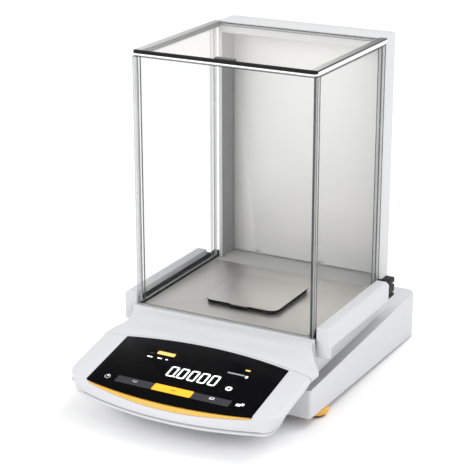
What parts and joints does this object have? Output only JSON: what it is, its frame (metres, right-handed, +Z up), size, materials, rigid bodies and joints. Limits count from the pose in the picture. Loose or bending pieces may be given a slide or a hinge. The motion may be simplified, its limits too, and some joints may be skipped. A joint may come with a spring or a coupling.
{
  "type": "analytical balance",
  "caption": "Analytical balance with a sloping touch console, a glass draft shield whose side and top doors slide rearwards, a square weighing pan and levelling feet.",
  "frame": {"origin": "on the table under the middle of the outline", "axes": "+X to the right-hand door, +Y to the rear, +Z up"},
  "size_m": [0.24, 0.3792, 0.3575],
  "materials": {
    "housing_white": "fine satin white moulding",
    "console_white": "fine satin off-white moulding",
    "panel_grey": "light grey powder coat",
    "brushed_steel": "finely brushed stainless steel",
    "clear_glass": "clear flat glass with ground edges",
    "black_plastic": "satin black",
    "black_rubber": "matt",
    "orange_plastic": "satin orange",
    "display_black": "gloss black cover over the display",
    "cast_aluminium": "as cast",
    "rail_grey": "satin anodised",
    "circuit_board": "green solder mask",
    "copper_wire": "enamelled copper winding",
    "zinc_steel": "bright zinc plate"
  },
  "bodies": {
    "base": {"housing": "housing_white", "base_plate": "cast_aluminium", "hook_cover": "black_plastic", "rear_foot_left": "black_rubber", "rear_foot_right": "black_rubber", "front_apron": "housing_white", "floor_plate": "brushed_steel", "guide_rail_left": "rail_grey", "guide_rail_right": "rail_grey", "power_inlet": "black_plastic", "serial_port": "zinc_steel", "usb_port": "zinc_steel", "rear_column": "housing_white", "back_panel": "panel_grey", "front_pane": "clear_glass", "front_top_bar": "black_plastic", "top_rail_left": "rail_grey", "top_rail_right": "rail_grey", "weigh_cell": "cast_aluminium", "cell_magnet": "zinc_steel", "position_sensor": "black_plastic", "cell_screw_1": "zinc_steel", "cell_screw_2": "zinc_steel", "cell_screw_3": "zinc_steel", "cell_screw_4": "zinc_steel", "bracket_screw_1": "zinc_steel", "bracket_screw_2": "zinc_steel", "main_board": "circuit_board", "calibration_motor": "zinc_steel", "calibration_frame": "cast_aluminium", "console_bezel": "housing_white", "display_glass": "display_black", "trim_strip": "orange_plastic", "display_module": "black_plastic", "console_board": "circuit_board", "console_shell": "console_white", "console_bracket": "zinc_steel"},
    "left_door": {"left_door_glass": "clear_glass", "left_door_seal": "black_plastic", "left_door_handle": "housing_white", "left_door_runner": "black_plastic"},
    "right_door": {"right_door_glass": "clear_glass", "right_door_seal": "black_plastic", "right_door_handle": "housing_white", "right_door_runner": "black_plastic"},
    "top_door": {"top_door_glass": "clear_glass", "top_door_grip": "black_plastic"},
    "pan": {"weighing_pan": "brushed_steel", "pan_support": "cast_aluminium"},
    "receiver": {"load_receiver": "cast_aluminium"},
    "lever": {"cell_lever": "cast_aluminium", "cell_coil": "copper_wire"},
    "cam": {"calibration_cam": "black_plastic"},
    "lifter": {"calibration_lifter": "cast_aluminium", "calibration_weight": "zinc_steel"},
    "left_wheel": {"levelling_wheel_left": "orange_plastic"},
    "left_stud": {"levelling_stud_left": "black_rubber"},
    "right_wheel": {"levelling_wheel_right": "orange_plastic"},
    "right_stud": {"levelling_stud_right": "black_rubber"}
  },
  "joints": [
    {"name": "left_door_slide", "type": "slide", "parent": "base", "child": "left_door", "axis": [0, 1, 0], "range_m": [0, 0.135]},
    {"name": "right_door_slide", "type": "slide", "parent": "base", "child": "right_door", "axis": [0, 1, 0], "range_m": [0, 0.135]},
    {"name": "top_door_slide", "type": "slide", "parent": "base", "child": "top_door", "axis": [0, 1, 0], "range_m": [0, 0.13]},
    {"name": "receiver_travel", "type": "slide", "parent": "base", "child": "receiver", "axis": [0, 0, 1], "range_m": [0, 0.0003]},
    {"name": "pan_lift_off", "type": "slide", "parent": "receiver", "child": "pan", "axis": [0, 0, 1], "range_m": [0, 0.06]},
    {"name": "lever_tilt", "type": "hinge", "parent": "base", "child": "lever", "pos_m": [0, 0.072, 0.0405], "axis": [1, 0, 0], "range_deg": [-1, 0]},
    {"name": "cam_turn", "type": "hinge", "parent": "base", "child": "cam", "pos_m": [0.06, 0, 0.03], "axis": [0, 1, 0], "range_deg": [0, 150]},
    {"name": "lifter_travel", "type": "slide", "parent": "base", "child": "lifter", "axis": [0, 0, 1], "range_m": [0, 0.004]},
    {"name": "left_wheel_turn", "type": "hinge", "parent": "base", "child": "left_wheel", "pos_m": [-0.1, -0.05, 0.006], "axis": [0, 0, 1], "range_deg": [0, 1080]},
    {"name": "left_stud_travel", "type": "slide", "parent": "base", "child": "left_stud", "axis": [0, 0, 1], "range_m": [-0.0038, 0]},
    {"name": "right_wheel_turn", "type": "hinge", "parent": "base", "child": "right_wheel", "pos_m": [0.1, -0.05, 0.006], "axis": [0, 0, 1], "range_deg": [0, 1080]},
    {"name": "right_stud_travel", "type": "slide", "parent": "base", "child": "right_stud", "axis": [0, 0, 1], "range_m": [-0.0038, 0]}
  ],
  "couplings": [
    {"joint": "lever_tilt", "follows": "receiver_travel", "rad_per_m": -50},
    {"joint": "cam_turn", "follows": "lifter_travel", "rad_per_m": 654.5},
    {"joint": "left_stud_travel", "follows": "left_wheel_turn", "m_per_rad": -0.00019894},
    {"joint": "right_stud_travel", "follows": "right_wheel_turn", "m_per_rad": -0.00019894}
  ]
}
